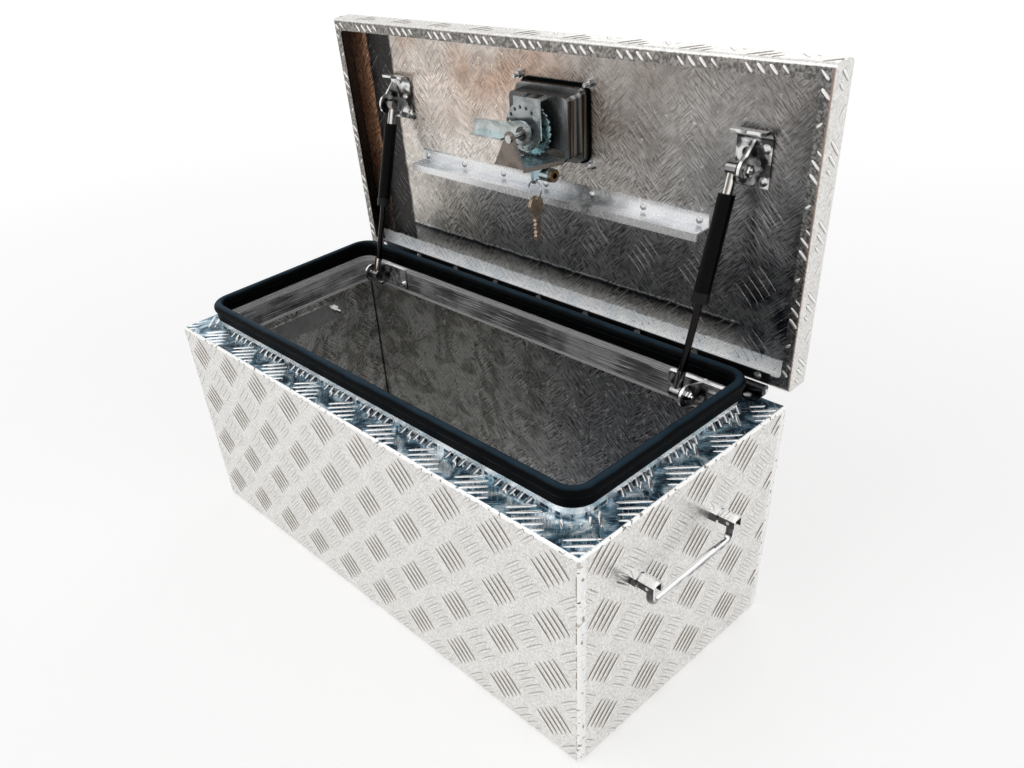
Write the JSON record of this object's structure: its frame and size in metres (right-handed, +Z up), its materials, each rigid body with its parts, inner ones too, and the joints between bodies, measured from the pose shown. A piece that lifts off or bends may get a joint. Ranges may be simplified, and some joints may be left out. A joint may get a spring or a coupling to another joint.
{
  "type": "hard tool case",
  "caption": "Tread-plate tool case with a hinged lid held open by gas struts, a sealed rim, a recessed folding T-handle latch and drop handles.",
  "frame": {"origin": "middle of the case body's underside", "axes": "+X to the right-hand end, -Y to the front, +Z up"},
  "size_m": [0.81, 0.3773, 0.6423],
  "materials": {
    "tread_plate": "bright five-bar tread plate, satin",
    "smooth_plate": "smooth sheet, satin",
    "lid_plate": "bright five-bar tread plate, plain polished inner side",
    "black_rubber": "matt",
    "hinge_metal": "dark satin",
    "plain_steel": "bright zinc",
    "chrome_parts": "polished",
    "black_paint": "gloss",
    "dark_plastic": "satin",
    "stainless": "brushed",
    "zinc_plated": "blue passivated zinc",
    "brass": "worn satin"
  },
  "bodies": {
    "case_body": {"body_wrapper": "tread_plate", "end_plate_left": "tread_plate", "end_plate_right": "tread_plate", "corner_welds": "tread_plate", "rim_frame": "smooth_plate", "lid_seal": "black_rubber", "hinge_leaf_body": "hinge_metal", "hinge_pin": "plain_steel", "hinge_rivets_body": "plain_steel", "body_brackets": "smooth_plate", "body_bracket_bolts": "plain_steel", "body_stud_nuts": "plain_steel", "ball_pin_left": "chrome_parts", "ball_pin_right": "chrome_parts", "catch_plate": "smooth_plate", "handle_posts_left": "chrome_parts", "handle_posts_right": "chrome_parts", "handle_backings": "plain_steel", "handle_pins_left": "plain_steel", "handle_pins_right": "plain_steel"},
    "lid": {"hinge_leaf_lid": "hinge_metal", "hinge_rivets_lid": "plain_steel", "lid_wrapper": "lid_plate", "lid_end_left": "lid_plate", "lid_end_right": "lid_plate", "lid_stiffener": "smooth_plate", "stiffener_rivets": "plain_steel", "lid_brackets": "smooth_plate", "lid_ball_studs": "chrome_parts", "lid_bracket_bolts": "plain_steel", "latch_dish": "stainless", "latch_gasket": "black_rubber", "latch_studs": "plain_steel", "latch_bush": "zinc_plated", "detent_plate": "zinc_plated", "cam_bracket": "zinc_plated", "lock_barrel": "zinc_plated", "key_hook": "zinc_plated"},
    "latch_spindle": {"t_handle_hub": "stainless", "t_handle_pin": "plain_steel", "index_plate": "zinc_plated", "cam_arm": "zinc_plated", "cam_pin": "plain_steel"},
    "t_handle_bar": {"t_handle": "stainless"},
    "plug": {"lock_plug": "brass"},
    "keys": {"key_ring": "plain_steel", "key_front": "brass", "key_back": "brass"},
    "rod_left": {"rod_socket_left": "chrome_parts", "strut_rod_left": "chrome_parts"},
    "tube_left": {"strut_gland_left": "dark_plastic", "strut_tube_left": "black_paint", "tube_socket_left": "chrome_parts"},
    "rod_right": {"rod_socket_right": "chrome_parts", "strut_rod_right": "chrome_parts"},
    "tube_right": {"strut_gland_right": "dark_plastic", "strut_tube_right": "black_paint", "tube_socket_right": "chrome_parts"},
    "bail_left": {"handle_left": "chrome_parts"},
    "bail_right": {"handle_right": "chrome_parts"}
  },
  "joints": [
    {"name": "lid_hinge", "type": "hinge", "parent": "case_body", "child": "lid", "pos_m": [0, 0.1735, 0.306], "axis": [1, 0, 0], "range_deg": [0, 88]},
    {"name": "latch_turn", "type": "hinge", "parent": "lid", "child": "latch_spindle", "pos_m": [0.019, 0.15663, 0.54556], "axis": [0, 0.9994, 0.0349], "range_deg": [0, 90]},
    {"name": "t_handle_fold", "type": "hinge", "parent": "latch_spindle", "child": "t_handle_bar", "pos_m": [0.019, 0.17773, 0.5573], "axis": [1, 0, 0], "range_deg": [0, 90]},
    {"name": "plug_turn", "type": "hinge", "parent": "lid", "child": "plug", "pos_m": [0.036, 0.14821, 0.50024], "axis": [1, 0, 0], "range_deg": [0, 90]},
    {"name": "keys_swing", "type": "hinge", "parent": "lid", "child": "keys", "pos_m": [0.027, 0.14861, 0.48874], "axis": [1, 0, 0], "range_deg": [-75, 8]},
    {"name": "bail_left_swing", "type": "hinge", "parent": "case_body", "child": "bail_left", "pos_m": [-0.397, 0.022, 0.228], "axis": [0, 1, 0], "range_deg": [0, 90]},
    {"name": "bail_right_swing", "type": "hinge", "parent": "case_body", "child": "bail_right", "pos_m": [0.397, -0.022, 0.228], "axis": [0, -1, 0], "range_deg": [0, 90]},
    {"name": "strut_left_swing", "type": "hinge", "parent": "case_body", "child": "rod_left", "pos_m": [-0.273, 0.11125, 0.306], "axis": [1, 0, 0], "range_deg": [-0.5, 102.24]},
    {"name": "strut_left_slide", "type": "slide", "parent": "rod_left", "child": "tube_left", "axis": [0, 0.2878, 0.9577], "range_m": [-0.07259, 0.0005]},
    {"name": "strut_right_swing", "type": "hinge", "parent": "case_body", "child": "rod_right", "pos_m": [0.273, 0.11125, 0.306], "axis": [1, 0, 0], "range_deg": [-0.5, 102.24]},
    {"name": "strut_right_slide", "type": "slide", "parent": "rod_right", "child": "tube_right", "axis": [0, 0.2878, 0.9577], "range_m": [-0.07259, 0.0005]}
  ],
  "couplings": [
    {"joint": "strut_left_swing", "follows": "lid_hinge", "ratio": 1.1561},
    {"joint": "strut_left_slide", "follows": "lid_hinge", "m_per_rad": -0.046939},
    {"joint": "strut_right_swing", "follows": "lid_hinge", "ratio": 1.1561},
    {"joint": "strut_right_slide", "follows": "lid_hinge", "m_per_rad": -0.046939}
  ]
}
